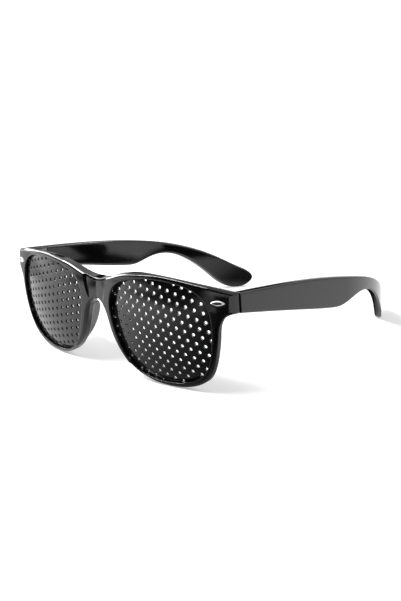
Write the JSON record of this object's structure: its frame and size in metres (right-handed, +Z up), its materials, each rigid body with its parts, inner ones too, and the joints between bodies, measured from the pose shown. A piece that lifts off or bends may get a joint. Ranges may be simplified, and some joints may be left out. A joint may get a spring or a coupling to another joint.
{
  "type": "pinhole glasses",
  "caption": "Folding full-rim pinhole glasses with perforated opaque plates, moulded nose pads and curved temples on screw hinges.",
  "frame": {"origin": "middle of the footprint, on the surface that the glasses stand on with the temples open", "axes": "+Z up as the glasses stand on a table, +Y from the front towards the ear ends, +X towards the wearer's left"},
  "size_m": [0.1444, 0.1685, 0.05],
  "materials": {
    "frame_plastic": "polished black moulding",
    "plate_plastic": "satin-gloss black sheet with pinholes",
    "hinge_steel": "pressed bright steel",
    "screw_steel": "turned steel",
    "ornament_metal": "polished silver with a dark centre"
  },
  "bodies": {
    "front": {"front_frame": "frame_plastic", "pinhole_plate_left": "plate_plastic", "pinhole_plate_right": "plate_plastic", "front_hinge_leaf_left": "hinge_steel", "front_hinge_leaf_right": "hinge_steel", "hinge_screw_left": "screw_steel", "hinge_screw_right": "screw_steel", "ornament_left": "ornament_metal", "ornament_right": "ornament_metal"},
    "left_temple": {"temple_left": "frame_plastic", "temple_hinge_leaf_left": "hinge_steel"},
    "right_temple": {"temple_right": "frame_plastic", "temple_hinge_leaf_right": "hinge_steel"}
  },
  "joints": [
    {"name": "left_fold", "type": "hinge", "parent": "front", "child": "left_temple", "pos_m": [0.0664, -0.0675, 0.04105], "axis": [0, -0.0686, 0.9976], "range_deg": [0, 86]},
    {"name": "right_fold", "type": "hinge", "parent": "front", "child": "right_temple", "pos_m": [-0.0664, -0.0675, 0.04105], "axis": [0, 0.0686, -0.9976], "range_deg": [0, 75]}
  ]
}
